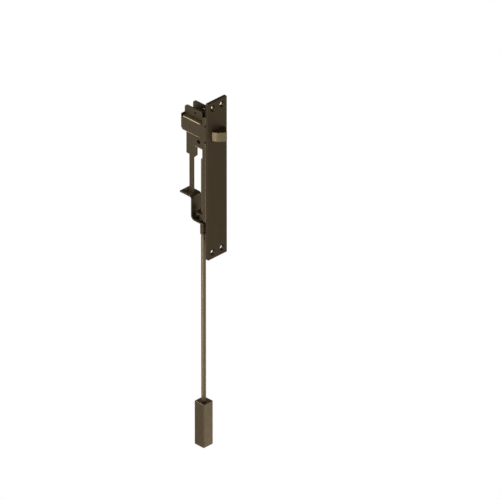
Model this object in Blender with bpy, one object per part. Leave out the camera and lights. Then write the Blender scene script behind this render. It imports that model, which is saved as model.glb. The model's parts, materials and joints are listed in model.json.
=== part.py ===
# Automatic flush bolt for the edge of an inactive door leaf.
# Metres, +Z up. X runs across the face plate, Y runs into the door, Z runs along the door's edge.
# The origin is the centre of the face plate's front face. The rod points down.
import math

import bmesh
import bpy
from mathutils import Matrix, Vector

MM = 0.001
FIT = 0.3 * MM            # gap left between pieces that touch
RUN = 0.45 * MM           # running clearance beside a piece that slides
ROUND_SIDES = 28          # facets round a turned piece
BEND_STEPS = 4            # facets in a sheet bend

# Face plate
PLATE_WIDTH = 25.4 * MM
PLATE_HEIGHT = 171.45 * MM
PLATE_THICK = 3.175 * MM
PLATE_CORNER = 0.8 * MM
SCREW_HOLE = 4.0 * MM
SCREW_SINK = 8.2 * MM
SCREW_SPREAD = 12.4 * MM
SCREW_INSET = 7.0 * MM

# Frame: a pressed channel behind the plate, with a strap that reaches back round the mechanism
SHEET = 1.6 * MM
FRAME_WIDTH = 22.2 * MM
FRAME_DEPTH = 5.9 * MM
FRAME_TOP = 68.2 * MM
FRAME_BOTTOM = -46.3 * MM
FRAME_BEND = 2.2 * MM     # bend radius at the middle of the sheet
FRAME_END_ROUND = 2.6 * MM
STRAP_Z = 50.7 * MM       # height of the strap's middle line
STRAP_REAR = 39.6 * MM
STRAP_HEIGHT = 16.5 * MM
STRAP_FRONT = 12.0 * MM   # where the strap's lips start
STRAP_LIP = 4.4 * MM      # width of a lip, from the strap's outer face
STRAP_BEND = 1.5 * MM
TIE_HEIGHT = 11.0 * MM
TIE_SETBACK = 3.0 * MM    # the lips end this far before the strap's rear face
NECK_Z = 50.05 * MM
NECK_HEIGHT = 17.7 * MM
NECK_RELIEF = 1.1 * MM
RELIEF_Y = 5.65 * MM
TAB_WIDTH = 10.4 * MM     # tab at the channel's lower end, which guides the rod
TAB_RISE = 3.0 * MM       # height of the notches beside the tab's bend
TAB_NOTCH = 0.5 * MM
TAB_REST = 3.3 * MM       # sheet left round the rod's hole in the tab

# Trigger, and the slide and tongue that carry it
TRIGGER_Z = 48.4 * MM
TRIGGER_HEIGHT = 10.0 * MM
TRIGGER_REACH = 9.8 * MM  # how far the nose stands out of the plate
TRIGGER_NOSE_X = 2.6 * MM
TRIGGER_NOSE_ROUND = 1.3 * MM
TRIGGER_TRAVEL = 8.0 * MM
RAMP_INSET = 1.6 * MM     # the ramp's side stands this far inside the slide's
RAMP_START = 1.2 * MM
RAMP_KNEE_X = -4.4 * MM
RAMP_KNEE_REACH = 4.7 * MM
RAMP_ROUND = 9.0 * MM
FLANK_REACH = 3.0 * MM
SLOT_HEIGHT = 13.0 * MM
SLOT_EASE = 0.05 * MM     # the slot stops this far inside the frame's walls
LEG_HEIGHT = 10.2 * MM
LEG_RISE = 1.1 * MM       # the slide sits this far above the trigger's middle, between the lips
LEG_REACH = 15.5 * MM
TONGUE_HEIGHT = 7.7 * MM
TONGUE_RISE = 1.35 * MM   # the tongue's middle is this far above the trigger's
TONGUE_REST = 1.1 * MM    # sheet left behind the cam pin's hole
TONGUE_FOOT = 4.3 * MM
TONGUE_BEND = 1.4 * MM
RIVET_X = 2.9 * MM
RIVET_SHANK = 1.6 * MM
RIVET_HEAD = 2.6 * MM
RIVET_SPREAD = 3.3 * MM
RIVET_RISE = 1.15 * MM    # the rivets' middle is this far above the trigger's
RIVET_DEPTH = 2.6 * MM

# Carriage: a folded U, fixed in the strap, whose two ears carry the rocker
EAR_GAP = 0.35 * MM       # between an ear and the strap's lips
EAR_FRONT = 14.0 * MM
EAR_FOOT_REAR = 24.0 * MM
EAR_REAR = 37.7 * MM
EAR_TOP = 68.8 * MM
EAR_FOOT = 27.0 * MM
EAR_SHOULDER = 53.7 * MM
EAR_SLOPE = 0.7
EAR_REAR_ROUND = 3.2 * MM
EAR_FRONT_ROUND = 1.6 * MM
EAR_HOLE = 2.4 * MM       # open hole near the ears' top
EAR_HOLE_Y = 23.4 * MM
EAR_HOLE_Z = 64.6 * MM
EAR_PIN = 2.4 * MM        # cross pin that the spring's leg leans on
EAR_PIN_Y = 19.0 * MM
EAR_PIN_Z = 34.8 * MM
EAR_PIN_RECESS = 0.75 * MM
SPACER_DIAMETER = 4.0 * MM
SPACER_LOW = (28.0 * MM, 47.5 * MM)
SPACER_HIGH = (34.0 * MM, 54.0 * MM)

# Rocker: two plates on the pivot pin, with a slot for the cam pin and a pin for the rail
BOLT_THROW = 19.05 * MM
PIVOT_Y = 18.6 * MM
PIVOT_Z = 43.0 * MM
PIVOT_PIN = 3.0 * MM
ROCKER_ARM = 15.5 * MM
ROCKER_WIDTH = 5.6 * MM
ROCKER_FILLET = 1.5 * MM
ROCKER_PIN = 2.4 * MM
CAM_PIN = 2.4 * MM
CAM_SLOT = 3.5 * MM       # width of the rocker's slot
CAM_SLOT_WALL = 1.3 * MM
RAIL_SLOT = 3.6 * MM      # width of the rail's slot
PIVOT_SPACER = 5.2 * MM

# Rail: the flat plate in the middle plane that the rocker drives down
RAIL_THICK = 1.6 * MM
RAIL_FRONT = 27.4 * MM
RAIL_REAR = 41.2 * MM
RAIL_REST = 1.6 * MM      # sheet left above the rail's slot
RAIL_STEP = 9.0 * MM      # height where the wide part ends
RAIL_CHAMFER = 4.3 * MM
BAR_FRONT = 31.9 * MM
BAR_REAR = 37.2 * MM

# Guide bracket: a folded strip that joins the rail's foot to the rod
BRACKET_WIDTH = 12.7 * MM
BRACKET_FRONT = 12.6 * MM
BRACKET_BOTTOM = -54.6 * MM
BRACKET_REAR = 29.6 * MM
BRACKET_BEND = 3.6 * MM
SHELF_TOP = -28.9 * MM
SHELF_REAR = 44.5 * MM
SHELF_BEND = 2.4 * MM
STUD_Y = 41.2 * MM
STUD_DIAMETER = 3.0 * MM
STUD_HEAD = 5.0 * MM
STUD_HEAD_HEIGHT = 2.6 * MM

# Rod, nuts, collar and bolt
BACKSET = 19.05 * MM
ROD_DIAMETER = 4.76 * MM
ROD_TOP = 13.6 * MM
NUT_ACROSS = 8.0 * MM
NUT_HEIGHT = 2.6 * MM
COLLAR_DIAMETER = 6.4 * MM
COLLAR_LENGTH = 13.4 * MM
BOLT_SIZE = 12.7 * MM
BOLT_LENGTH = 48.5 * MM
BOLT_TIP = -302.0 * MM
BOLT_EDGE = 0.8 * MM
BOLT_SOCKET = 12.0 * MM

# Return spring: wire wound round the pivot pin, between the carriage's ear pin and the rocker
SPRING_WIRE = 0.5 * MM
SPRING_RADIUS = 2.25 * MM
SPRING_HOOK = 6.0 * MM    # distance from the pivot to the hook in the rocker
SPRING_HOOK_BEND = 0.5 * MM
SPRING_LEG_DROP = 2.5 * MM
SPRING_TURNS = 1
SPRING_SIDES = 6
SPRING_TURN_STEPS = 16


def clear_scene():
    """Empty the file of its objects."""
    for obj in list(bpy.data.objects):
        bpy.data.objects.remove(obj, do_unlink=True)


def finish(name, colour, roughness, metallic):
    """A plain Principled material."""
    material = bpy.data.materials.new(name)
    material.use_nodes = True
    shader = material.node_tree.nodes["Principled BSDF"]
    shader.inputs["Base Color"].default_value = (*colour, 1.0)
    shader.inputs["Roughness"].default_value = roughness
    shader.inputs["Metallic"].default_value = metallic
    return material


def place(name, bm, material=None):
    """Turn a bmesh into a named object with its faces pointing out."""
    bmesh.ops.recalc_face_normals(bm, faces=bm.faces)
    mesh = bpy.data.meshes.new(name)
    bm.to_mesh(mesh)
    bm.free()
    obj = bpy.data.objects.new(name, mesh)
    bpy.context.scene.collection.objects.link(obj)
    if material:
        mesh.materials.append(material)
    return obj


def combine(target, other, operation):
    """Apply one exact Boolean to target and remove the other object."""
    modifier = target.modifiers.new("combine", "BOOLEAN")
    modifier.solver = "EXACT"
    modifier.operation = operation
    modifier.object = other
    graph = bpy.context.evaluated_depsgraph_get()
    result = bpy.data.meshes.new_from_object(target.evaluated_get(graph))
    target.modifiers.remove(modifier)
    spare = target.data
    target.data = result
    result.name = target.name
    bpy.data.meshes.remove(spare)
    bpy.data.objects.remove(other, do_unlink=True)
    return target


def cut(target, cutter):
    return combine(target, cutter, "DIFFERENCE")


def join(target, other):
    return combine(target, other, "UNION")


def rounded(corners, radii, steps=BEND_STEPS):
    """Outline through the corners, each one rounded by its own radius."""
    outline = []
    count = len(corners)
    for index, (corner, radius) in enumerate(zip(corners, radii)):
        here = Vector(corner)
        if radius <= 0.0:
            outline.append(here)
            continue
        back = (Vector(corners[index - 1]) - here).normalized()
        ahead = (Vector(corners[(index + 1) % count]) - here).normalized()
        half = back.angle(ahead) / 2
        reach = radius / math.tan(half)
        centre = here + (back + ahead).normalized() * (radius / math.sin(half))
        first = here + back * reach - centre
        turn = first.angle_signed(here + ahead * reach - centre)
        for step in range(steps + 1):
            angle = -turn * step / steps
            swing = Matrix.Rotation(angle, 2)
            outline.append(centre + swing @ first)
    return outline


def sheet_outline(path, thickness, *bends):
    """Outline of a folded sheet: the path is its middle line, with one middle radius or one a bend."""
    inner = len(path) - 2
    radii = [0.0] + list(bends if len(bends) == inner else bends[:1] * inner) + [0.0]
    line = rounded(path, radii)
    left = []
    right = []
    for index, point in enumerate(line):
        before = line[max(index - 1, 0)]
        after = line[min(index + 1, len(line) - 1)]
        incoming = (point - before).normalized() if index else (after - point).normalized()
        outgoing = (after - point).normalized() if index < len(line) - 1 else incoming
        along = (incoming + outgoing).normalized()
        widen = thickness / 2 / max(along.dot(incoming), 0.5)
        normal = Vector((-along.y, along.x)) * widen
        left.append(point + normal)
        right.append(point - normal)
    return left + right[::-1]


def corner_waste(u, v, toward_u, toward_v, radius, steps=6):
    """Outline of what rounding takes off a corner of a piece that lies toward (toward_u, toward_v)."""
    outline = [(u - toward_u * MM, v - toward_v * MM), (u - toward_u * MM, v + toward_v * radius)]
    for step in range(steps + 1):
        swing = math.pi / 2 * step / steps
        outline.append((u + toward_u * radius * (1 - math.cos(swing)),
                        v + toward_v * radius * (1 - math.sin(swing))))
    outline.append((u + toward_u * radius, v - toward_v * MM))
    return outline


AXES = {
    "X": lambda u, v, w: (w, u, v),   # outline in Y and Z
    "Y": lambda u, v, w: (u, w, v),   # outline in X and Z
    "Z": lambda u, v, w: (u, v, w),   # outline in X and Y
}


def settled(point):
    """The point on a fine grid, so that faces meant to be flush meet exactly in a Boolean."""
    return tuple(round(value, 7) for value in point)


def prism(name, outline, axis, low, high, material=None):
    """Extrude a flat outline along one axis."""
    bm = bmesh.new()
    at = AXES[axis]
    low, high = settled((low, high))
    ring = [bm.verts.new(at(*settled(point), low)) for point in outline]
    face = bm.faces.new(ring)
    grown = bmesh.ops.extrude_face_region(bm, geom=[face])
    moved = [item for item in grown["geom"] if isinstance(item, bmesh.types.BMVert)]
    bmesh.ops.translate(bm, verts=moved, vec=Vector(at(0, 0, high - low)))
    return place(name, bm, material)


def block(name, low, high, material=None):
    """A box between two corners."""
    outline = [(low[0], low[1]), (high[0], low[1]), (high[0], high[1]), (low[0], high[1])]
    return prism(name, outline, "Z", low[2], high[2], material)


def circle(u, v, radius, sides=ROUND_SIDES):
    """Corners of a round outline."""
    return [
        (u + radius * math.cos(math.tau * side / sides), v + radius * math.sin(math.tau * side / sides))
        for side in range(sides)
    ]


def shaft(name, axis, u, v, radius, low, high, material=None, sides=ROUND_SIDES):
    """A round bar along one axis."""
    return prism(name, circle(u, v, radius, sides), axis, low, high, material)


def turned(name, axis, u, v, profile, material=None):
    """A turned piece: the profile is (place along the axis, radius) from end to end."""
    bm = bmesh.new()
    at = AXES[axis]
    rings = []
    for along, radius in profile:
        rings.append([bm.verts.new(at(*settled(point), along)) for point in circle(u, v, radius)])
    for near, far in zip(rings, rings[1:]):
        for side in range(ROUND_SIDES):
            turn = (side + 1) % ROUND_SIDES
            bm.faces.new((near[side], near[turn], far[turn], far[side]))
    bm.faces.new(rings[0][::-1])
    bm.faces.new(rings[-1])
    return place(name, bm, material)


def obround(start, end, radius, steps=8):
    """Outline of a slot whose round ends are centred on start and end."""
    angle = math.atan2(end[1] - start[1], end[0] - start[0])
    outline = []
    for centre, base in ((end, angle - math.pi / 2), (start, angle + math.pi / 2)):
        for step in range(steps + 1):
            swing = base + math.pi * step / steps
            outline.append((centre[0] + radius * math.cos(swing), centre[1] + radius * math.sin(swing)))
    return outline


def smooth(obj, angle=35.0):
    """Shade a round piece smooth, with its edges kept sharp."""
    obj.data.shade_smooth()
    obj.data.set_sharp_from_angle(angle=math.radians(angle))
    return obj


def channel_inside():
    """Half the clear width between the frame's side walls."""
    return FRAME_WIDTH / 2 - SHEET


def slide_side():
    """Outer face of the trigger's slide, which runs between the frame's walls."""
    return channel_inside() - RUN


def ear_side():
    """Outer face of an ear, just inside the strap's lips."""
    return FRAME_WIDTH / 2 - STRAP_LIP - EAR_GAP


def rocker_inner():
    """Inner face of a rocker plate, beside the rail and the tongue."""
    return RAIL_THICK / 2 + FIT


def rocker_outer():
    return rocker_inner() + SHEET


def half_swing():
    """Half the angle that the rocker turns through, above and below the horizontal."""
    return math.asin(BOLT_THROW / 2 / ROCKER_ARM)


def from_pivot(distance, angle):
    """Point in Y and Z at an angle above the line that runs back from the pivot."""
    return (PIVOT_Y + distance * math.cos(angle), PIVOT_Z + distance * math.sin(angle))


def cam_rise():
    """Height of the cam pin's path above the pivot, so that both strokes take the same turn."""
    return TRIGGER_TRAVEL / 2 / math.tan(half_swing())


def cam_pin_place():
    return (PIVOT_Y - TRIGGER_TRAVEL / 2, PIVOT_Z + cam_rise())


def rocker_pin_place():
    return from_pivot(ROCKER_ARM, half_swing())


def web_front():
    """Front of the frame's web, just behind the plate."""
    return PLATE_THICK + FIT


def slot_side():
    """Half width of the trigger's slot in the plate."""
    return channel_inside() - SLOT_EASE


def make_face_plate(material):
    half = PLATE_WIDTH / 2
    tall = PLATE_HEIGHT / 2
    corners = [(-half, -tall), (half, -tall), (half, tall), (-half, tall)]
    outline = rounded(corners, [PLATE_CORNER] * 4, 3)
    plate = prism("face_plate", outline, "Y", 0.0, PLATE_THICK, material)
    slot = [
        (-slot_side(), TRIGGER_Z - SLOT_HEIGHT / 2),
        (slot_side(), TRIGGER_Z - SLOT_HEIGHT / 2),
        (slot_side(), TRIGGER_Z + SLOT_HEIGHT / 2),
        (-slot_side(), TRIGGER_Z + SLOT_HEIGHT / 2),
    ]
    cut(plate, prism("slot", rounded(slot, [PLATE_CORNER] * 4, 3), "Y", -MM, PLATE_THICK + MM))
    sink_depth = (SCREW_SINK - SCREW_HOLE) / 2
    for x in (-SCREW_SPREAD / 2, SCREW_SPREAD / 2):
        for z in (-(tall - SCREW_INSET), tall - SCREW_INSET):
            profile = [
                (-MM, SCREW_SINK / 2 + MM),
                (sink_depth, SCREW_HOLE / 2),
                (PLATE_THICK + MM, SCREW_HOLE / 2),
            ]
            cut(plate, turned("screw_hole", "Y", x, z, profile))
    return plate


def make_frame(material):
    """Channel, necks, strap and rod tab, all one pressed sheet."""
    side = FRAME_WIDTH / 2 - SHEET / 2
    web = web_front() + SHEET / 2
    rear = web_front() + FRAME_DEPTH
    path = [(-side, rear), (-side, web), (side, web), (side, rear)]
    frame = prism("frame_channel", sheet_outline(path, SHEET, FRAME_BEND), "Z",
                  FRAME_BOTTOM, FRAME_TOP, material)
    for sign in (-1, 1):
        add_neck_and_lips(frame, sign)
    tie = STRAP_REAR - SHEET / 2
    strap = [(-side, STRAP_FRONT - MM), (-side, tie), (side, tie), (side, STRAP_FRONT - MM)]
    join(frame, prism("strap", sheet_outline(strap, SHEET, FRAME_BEND), "Z",
                      STRAP_Z - TIE_HEIGHT / 2, STRAP_Z + TIE_HEIGHT / 2))
    cut_frame(frame, rear)
    add_rod_tab(frame, web)
    return frame


def add_neck_and_lips(frame, sign):
    """One side of the strap: a flat neck from the plate, and a wall with two lips."""
    low, high = sorted((sign * FRAME_WIDTH / 2, sign * channel_inside()))
    neck = [
        (web_front(), NECK_Z - NECK_HEIGHT / 2),
        (STRAP_FRONT + MM, NECK_Z - NECK_HEIGHT / 2),
        (STRAP_FRONT + MM, NECK_Z + NECK_HEIGHT / 2),
        (web_front(), NECK_Z + NECK_HEIGHT / 2),
    ]
    join(frame, prism("neck", rounded(neck, [0.0, MM, MM, 0.0], 3), "X", low, high))
    wall = sign * (FRAME_WIDTH / 2 - SHEET / 2)
    tip = sign * (FRAME_WIDTH / 2 - STRAP_LIP)
    bottom = STRAP_Z - STRAP_HEIGHT / 2 + SHEET / 2
    top = STRAP_Z + STRAP_HEIGHT / 2 - SHEET / 2
    path = [(tip, bottom), (wall, bottom), (wall, top), (tip, top)]
    join(frame, prism("lips", sheet_outline(path, SHEET, STRAP_BEND), "Y",
                      STRAP_FRONT, STRAP_REAR - TIE_SETBACK))


def cut_frame(frame, rear):
    """Slot for the trigger, rounded flange ends and the reliefs beside the necks."""
    cut(frame, block("web_slot", (-channel_inside(), 0.0, TRIGGER_Z - SLOT_HEIGHT / 2),
                     (channel_inside(), web_front() + SHEET + MM, TRIGGER_Z + SLOT_HEIGHT / 2)))
    bend_start = FRAME_WIDTH / 2 - SHEET / 2 - FRAME_BEND
    for sign in (-1, 1):
        low, high = sorted((sign * bend_start, sign * FRAME_WIDTH))
        for z in (NECK_Z - NECK_HEIGHT / 2, NECK_Z + NECK_HEIGHT / 2):
            cut(frame, shaft("relief", "X", RELIEF_Y, z, NECK_RELIEF, low, high, sides=16))
    for z, inward in ((FRAME_TOP, -1), (FRAME_BOTTOM, 1)):
        waste = corner_waste(rear, z, -1, inward, FRAME_END_ROUND)
        cut(frame, prism("end_round", waste, "X", -FRAME_WIDTH, FRAME_WIDTH))


def add_rod_tab(frame, web):
    """Tab folded back from the channel's lower end, with the rod's hole."""
    half = TAB_WIDTH / 2
    rear = BACKSET + ROD_DIAMETER / 2 + FIT + TAB_REST
    notch = half + TAB_NOTCH
    cut(frame, block("tab_notch", (-notch, 0.0, FRAME_BOTTOM - MM),
                     (notch, web_front() + FRAME_DEPTH, FRAME_BOTTOM + TAB_RISE)))
    level = FRAME_BOTTOM + SHEET / 2
    path = [(web, FRAME_BOTTOM + TAB_RISE + MM), (web, level), (rear, level)]
    tab = prism("tab", sheet_outline(path, SHEET, FRAME_BEND), "X", -half, half)
    for sign in (-1, 1):
        waste = corner_waste(sign * half, rear, -sign, -1, half / 2)
        cut(tab, prism("tab_corner", waste, "Z", FRAME_BOTTOM - MM, FRAME_BOTTOM + SHEET + MM))
    cut(tab, shaft("rod_hole", "Z", 0.0, BACKSET, ROD_DIAMETER / 2 + FIT,
                   FRAME_BOTTOM - MM, FRAME_BOTTOM + SHEET + MM))
    join(frame, tab)


def make_guide_bracket(material):
    """Folded strip: end plate round the rod, rear wall and shelf."""
    half = SHEET / 2
    path = [
        (BRACKET_FRONT, BRACKET_BOTTOM + half),
        (BRACKET_REAR - half, BRACKET_BOTTOM + half),
        (BRACKET_REAR - half, SHELF_TOP - half),
        (SHELF_REAR, SHELF_TOP - half),
    ]
    bracket = prism("guide_bracket", sheet_outline(path, SHEET, BRACKET_BEND, SHELF_BEND), "X",
                    -BRACKET_WIDTH / 2, BRACKET_WIDTH / 2, material)
    cut(bracket, shaft("rod_hole", "Z", 0.0, BACKSET, ROD_DIAMETER / 2 + FIT,
                       BRACKET_BOTTOM - MM, BRACKET_BOTTOM + SHEET + MM))
    cut(bracket, shaft("stud_hole", "Z", 0.0, STUD_Y, STUD_DIAMETER / 2 + FIT,
                       SHELF_TOP - SHEET - MM, SHELF_TOP + MM))
    return bracket


def make_rail(material):
    """Flat plate in the middle plane, with the rocker pin's slot, narrow down to the shelf."""
    slot_y, slot_z = rocker_pin_place()
    slot = RAIL_SLOT / 2
    inner = STRAP_REAR - SHEET - FIT
    notch = STRAP_Z - TIE_HEIGHT / 2 - FIT
    top = slot_z + slot + RAIL_REST
    outline = [
        (RAIL_FRONT, top),
        (inner, top),
        (inner, notch),
        (RAIL_REAR, notch),
        (RAIL_REAR, RAIL_STEP),
        (BAR_REAR, RAIL_STEP),
        (BAR_REAR, SHELF_TOP + FIT),
        (BAR_FRONT, SHELF_TOP + FIT),
        (BAR_FRONT, RAIL_STEP),
        (RAIL_FRONT + RAIL_CHAMFER, RAIL_STEP),
        (RAIL_FRONT, RAIL_STEP + RAIL_CHAMFER),
    ]
    rail = prism("rail", outline, "X", -RAIL_THICK / 2, RAIL_THICK / 2, material)
    reach = PIVOT_Y + ROCKER_ARM
    hole = obround((slot_y - FIT, slot_z), (reach + FIT, slot_z), slot)
    return cut(rail, prism("pin_slot", hole, "X", -RAIL_THICK, RAIL_THICK))


def make_shelf_stud(material):
    """Headed stud through the shelf, with its head on the rod's side."""
    under = SHELF_TOP - SHEET - FIT
    profile = [
        (under - STUD_HEAD_HEIGHT, STUD_HEAD / 2 - 0.6 * MM),
        (under - STUD_HEAD_HEIGHT + 0.6 * MM, STUD_HEAD / 2),
        (under, STUD_HEAD / 2),
        (under + 0.01 * MM, STUD_DIAMETER / 2),
        (SHELF_TOP + FIT, STUD_DIAMETER / 2),
        (SHELF_TOP + FIT + 0.01 * MM, STUD_DIAMETER / 2 + 0.5 * MM),
        (SHELF_TOP + FIT + 0.7 * MM, STUD_DIAMETER / 2 + 0.2 * MM),
    ]
    return smooth(turned("shelf_stud", "Z", 0.0, STUD_Y, profile, material))


def slide_front():
    """Front of the slide's web, behind the plate and clear of the frame's slot."""
    return PLATE_THICK + 0.65 * MM


def tongue_front():
    return slide_front() + SHEET + FIT


def rivet_heights():
    middle = TRIGGER_Z + RIVET_RISE
    return (middle - RIVET_SPREAD / 2, middle + RIVET_SPREAD / 2)


def drill_rivet_holes(obj, front, rear):
    """Clearance holes for both rivets."""
    for z in rivet_heights():
        cut(obj, shaft("rivet_hole", "Y", RIVET_X, z, RIVET_SHANK / 2 + FIT, front, rear, sides=16))
    return obj


def make_trigger_nose(material):
    """Solid nose with a long convex ramp on one side and a short flank on the other."""
    left = RAMP_INSET - slide_side()
    right = slide_side()
    rear = slide_front() - FIT
    corners = [
        (right, rear),
        (left, rear),
        (left, RAMP_START),
        (RAMP_KNEE_X, -RAMP_KNEE_REACH),
        (TRIGGER_NOSE_X, -TRIGGER_REACH - 0.45 * MM),
        (right, -FLANK_REACH),
    ]
    radii = [0.0, 0.0, 1.0 * MM, RAMP_ROUND, TRIGGER_NOSE_ROUND, 1.5 * MM]
    nose = prism("trigger_nose", rounded(corners, radii, 6), "Z",
                 TRIGGER_Z - TRIGGER_HEIGHT / 2, TRIGGER_Z + TRIGGER_HEIGHT / 2, material)
    return drill_rivet_holes(nose, rear - RIVET_DEPTH - FIT, rear + MM)


def make_trigger_slide(material):
    """Folded U whose legs run in the strap's channels."""
    side = slide_side() - SHEET / 2
    web = slide_front() + SHEET / 2
    path = [(-side, LEG_REACH), (-side, web), (side, web), (side, LEG_REACH)]
    low = TRIGGER_Z + LEG_RISE - LEG_HEIGHT / 2
    slide = prism("trigger_slide", sheet_outline(path, SHEET, FRAME_BEND), "Z", low, low + LEG_HEIGHT, material)
    return drill_rivet_holes(slide, 0.0, web + SHEET)


def make_trigger_tongue(material):
    """Bent sheet riveted behind the slide, whose blade carries the cam pin between the rocker's plates."""
    web = tongue_front() + SHEET / 2
    pin_y, pin_height = cam_pin_place()
    hole = CAM_PIN / 2 + FIT
    path = [(TONGUE_FOOT, web), (0.0, web), (0.0, pin_y + hole + TONGUE_REST)]
    low = TRIGGER_Z + TONGUE_RISE - TONGUE_HEIGHT / 2
    tongue = prism("trigger_tongue", sheet_outline(path, SHEET, TONGUE_BEND), "Z",
                   low, low + TONGUE_HEIGHT, material)
    cut(tongue, shaft("pin_hole", "X", pin_y, pin_height, hole, -SHEET, SHEET, sides=20))
    return drill_rivet_holes(tongue, 0.0, web + SHEET)


def make_trigger_rivet(name, z, material):
    """Rivet through the nose, the slide and the tongue."""
    seat = tongue_front() + SHEET + FIT
    profile = [
        (slide_front() - FIT - RIVET_DEPTH, RIVET_SHANK / 2),
        (seat, RIVET_SHANK / 2),
        (seat + 0.01 * MM, RIVET_HEAD / 2),
        (seat + 0.5 * MM, RIVET_HEAD / 2 - 0.1 * MM),
        (seat + 0.8 * MM, RIVET_HEAD / 2 - 0.7 * MM),
    ]
    return smooth(turned(name, "Y", RIVET_X, z, profile, material))


def cross_pin(name, place_yz, diameter, reach, material):
    """Round pin across the mechanism, as long on both sides."""
    return smooth(shaft(name, "X", place_yz[0], place_yz[1], diameter / 2, -reach, reach, material, 20))


def make_carriage(material):
    """Folded U: two ears joined by a foot, with the pivot's holes."""
    side = ear_side() - SHEET / 2
    foot = EAR_FOOT + SHEET / 2
    path = [(-side, EAR_TOP), (-side, foot), (side, foot), (side, EAR_TOP)]
    carriage = prism("carriage", sheet_outline(path, SHEET, STRAP_BEND), "Y", EAR_FRONT, EAR_REAR, material)
    waste = [
        (EAR_FOOT_REAR, EAR_FOOT - MM),
        (EAR_REAR + MM, EAR_FOOT - MM),
        (EAR_REAR + MM, EAR_SHOULDER),
        (EAR_REAR, EAR_SHOULDER),
        (EAR_FOOT_REAR, EAR_SHOULDER - (EAR_REAR - EAR_FOOT_REAR) * EAR_SLOPE),
    ]
    cut(carriage, prism("waste", waste, "X", -FRAME_WIDTH, FRAME_WIDTH))
    for y, inward, radius in ((EAR_REAR, -1, EAR_REAR_ROUND), (EAR_FRONT, 1, EAR_FRONT_ROUND)):
        cut(carriage, prism("ear_corner", corner_waste(y, EAR_TOP, inward, -1, radius), "X",
                            -FRAME_WIDTH, FRAME_WIDTH))
    holes = (
        (EAR_HOLE_Y, EAR_HOLE_Z, EAR_HOLE / 2),
        (EAR_PIN_Y, EAR_PIN_Z, EAR_PIN / 2 + FIT),
        (PIVOT_Y, PIVOT_Z, PIVOT_PIN / 2 + FIT),
    )
    for y, z, radius in holes:
        cut(carriage, shaft("ear_hole", "X", y, z, radius, -FRAME_WIDTH, FRAME_WIDTH, sides=20))
    return carriage


def make_ear_spacer(name, sign, place_yz, material):
    """Short post between an ear and the strap's wall."""
    low, high = sorted((sign * (ear_side() + FIT), sign * (channel_inside() - FIT)))
    return smooth(shaft(name, "X", place_yz[0], place_yz[1], SPACER_DIAMETER / 2, low, high, material, 20))


def rocker_outline(swing):
    """Two arms at a right angle with round ends, drawn along the arms and turned to their rest pose."""
    rail_arm = ROCKER_WIDTH / 2
    cam_arm = CAM_SLOT / 2 + CAM_SLOT_WALL
    end = ROCKER_ARM + rail_arm
    top = cam_rise() / math.cos(swing) + FIT + cam_arm
    corners = [(-cam_arm, -rail_arm), (end, -rail_arm), (end, rail_arm),
               (cam_arm, rail_arm), (cam_arm, top), (-cam_arm, top)]
    blunt = 0.05 * MM
    radii = [rail_arm - blunt, rail_arm - blunt, rail_arm - blunt,
             ROCKER_FILLET, cam_arm - blunt, cam_arm - blunt]
    turn = Matrix.Rotation(swing, 2)
    pivot = Vector((PIVOT_Y, PIVOT_Z))
    return [pivot + turn @ point for point in rounded(corners, radii, 6)]


def make_rocker_plate(name, sign, material):
    """Bell crank plate: one arm drives the rail, the slotted arm takes the cam pin."""
    low, high = sorted((sign * rocker_inner(), sign * rocker_outer()))
    swing = half_swing()
    pivot = (PIVOT_Y, PIVOT_Z)
    tip = from_pivot(ROCKER_ARM, swing)
    near = from_pivot(cam_rise() - FIT, swing + math.pi / 2)
    far = from_pivot(cam_rise() / math.cos(swing) + FIT, swing + math.pi / 2)
    plate = prism(name, rocker_outline(swing), "X", low, high, material)
    cut(plate, prism("cam_slot", obround(near, far, CAM_SLOT / 2), "X", -FRAME_WIDTH, FRAME_WIDTH))
    cut(plate, shaft("pivot_hole", "X", *pivot, PIVOT_PIN / 2 + FIT, -FRAME_WIDTH, FRAME_WIDTH, sides=20))
    cut(plate, shaft("pin_hole", "X", *tip, ROCKER_PIN / 2 + FIT, -FRAME_WIDTH, FRAME_WIDTH, sides=20))
    if sign < 0:
        hook = from_pivot(SPRING_HOOK, swing)
        cut(plate, shaft("hook_hole", "X", *hook, SPRING_WIRE / 2 + FIT, -FRAME_WIDTH, FRAME_WIDTH, sides=12))
    return plate


def make_pivot_spacer(material):
    """Sleeve that keeps the rocker in the middle, on the side away from the spring."""
    low = rocker_outer() + FIT
    high = ear_side() - SHEET - FIT
    spacer = shaft("pivot_spacer", "X", PIVOT_Y, PIVOT_Z, PIVOT_SPACER / 2, low, high, material, 24)
    cut(spacer, shaft("spacer_bore", "X", PIVOT_Y, PIVOT_Z, PIVOT_PIN / 2 + FIT, low - MM, high + MM, sides=24))
    return smooth(spacer)


def spring_line():
    """Middle line of the spring's wire, from the leg on the ear pin to the hook in the rocker."""
    clear = FIT + SPRING_WIRE / 2
    near_ear = -(ear_side() - SHEET - clear)
    near_rocker = -(rocker_outer() + clear)
    leave = half_swing() - math.acos(SPRING_RADIUS / SPRING_HOOK)
    turn = math.tau * (SPRING_TURNS + 1) + leave
    line = [Vector((near_ear, PIVOT_Y + SPRING_RADIUS, EAR_PIN_Z - SPRING_LEG_DROP))]
    steps = round(SPRING_TURN_STEPS * turn / math.tau)
    for step in range(steps + 1):
        share = step / steps
        line.append(Vector((near_ear + (near_rocker - near_ear) * share,
                            *from_pivot(SPRING_RADIUS, turn * share))))
    hook = Vector((near_rocker, *from_pivot(SPRING_HOOK, half_swing())))
    back = (line[-1] - hook).normalized()
    inward = Vector((1.0, 0.0, 0.0))
    centre = hook + (back + inward) * SPRING_HOOK_BEND
    for step in range(BEND_STEPS + 1):
        swing = math.pi / 2 * step / BEND_STEPS
        line.append(centre - (inward * math.cos(swing) + back * math.sin(swing)) * SPRING_HOOK_BEND)
    line.append(Vector((-(rocker_inner() + FIT), hook.y, hook.z)))
    return line


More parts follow.
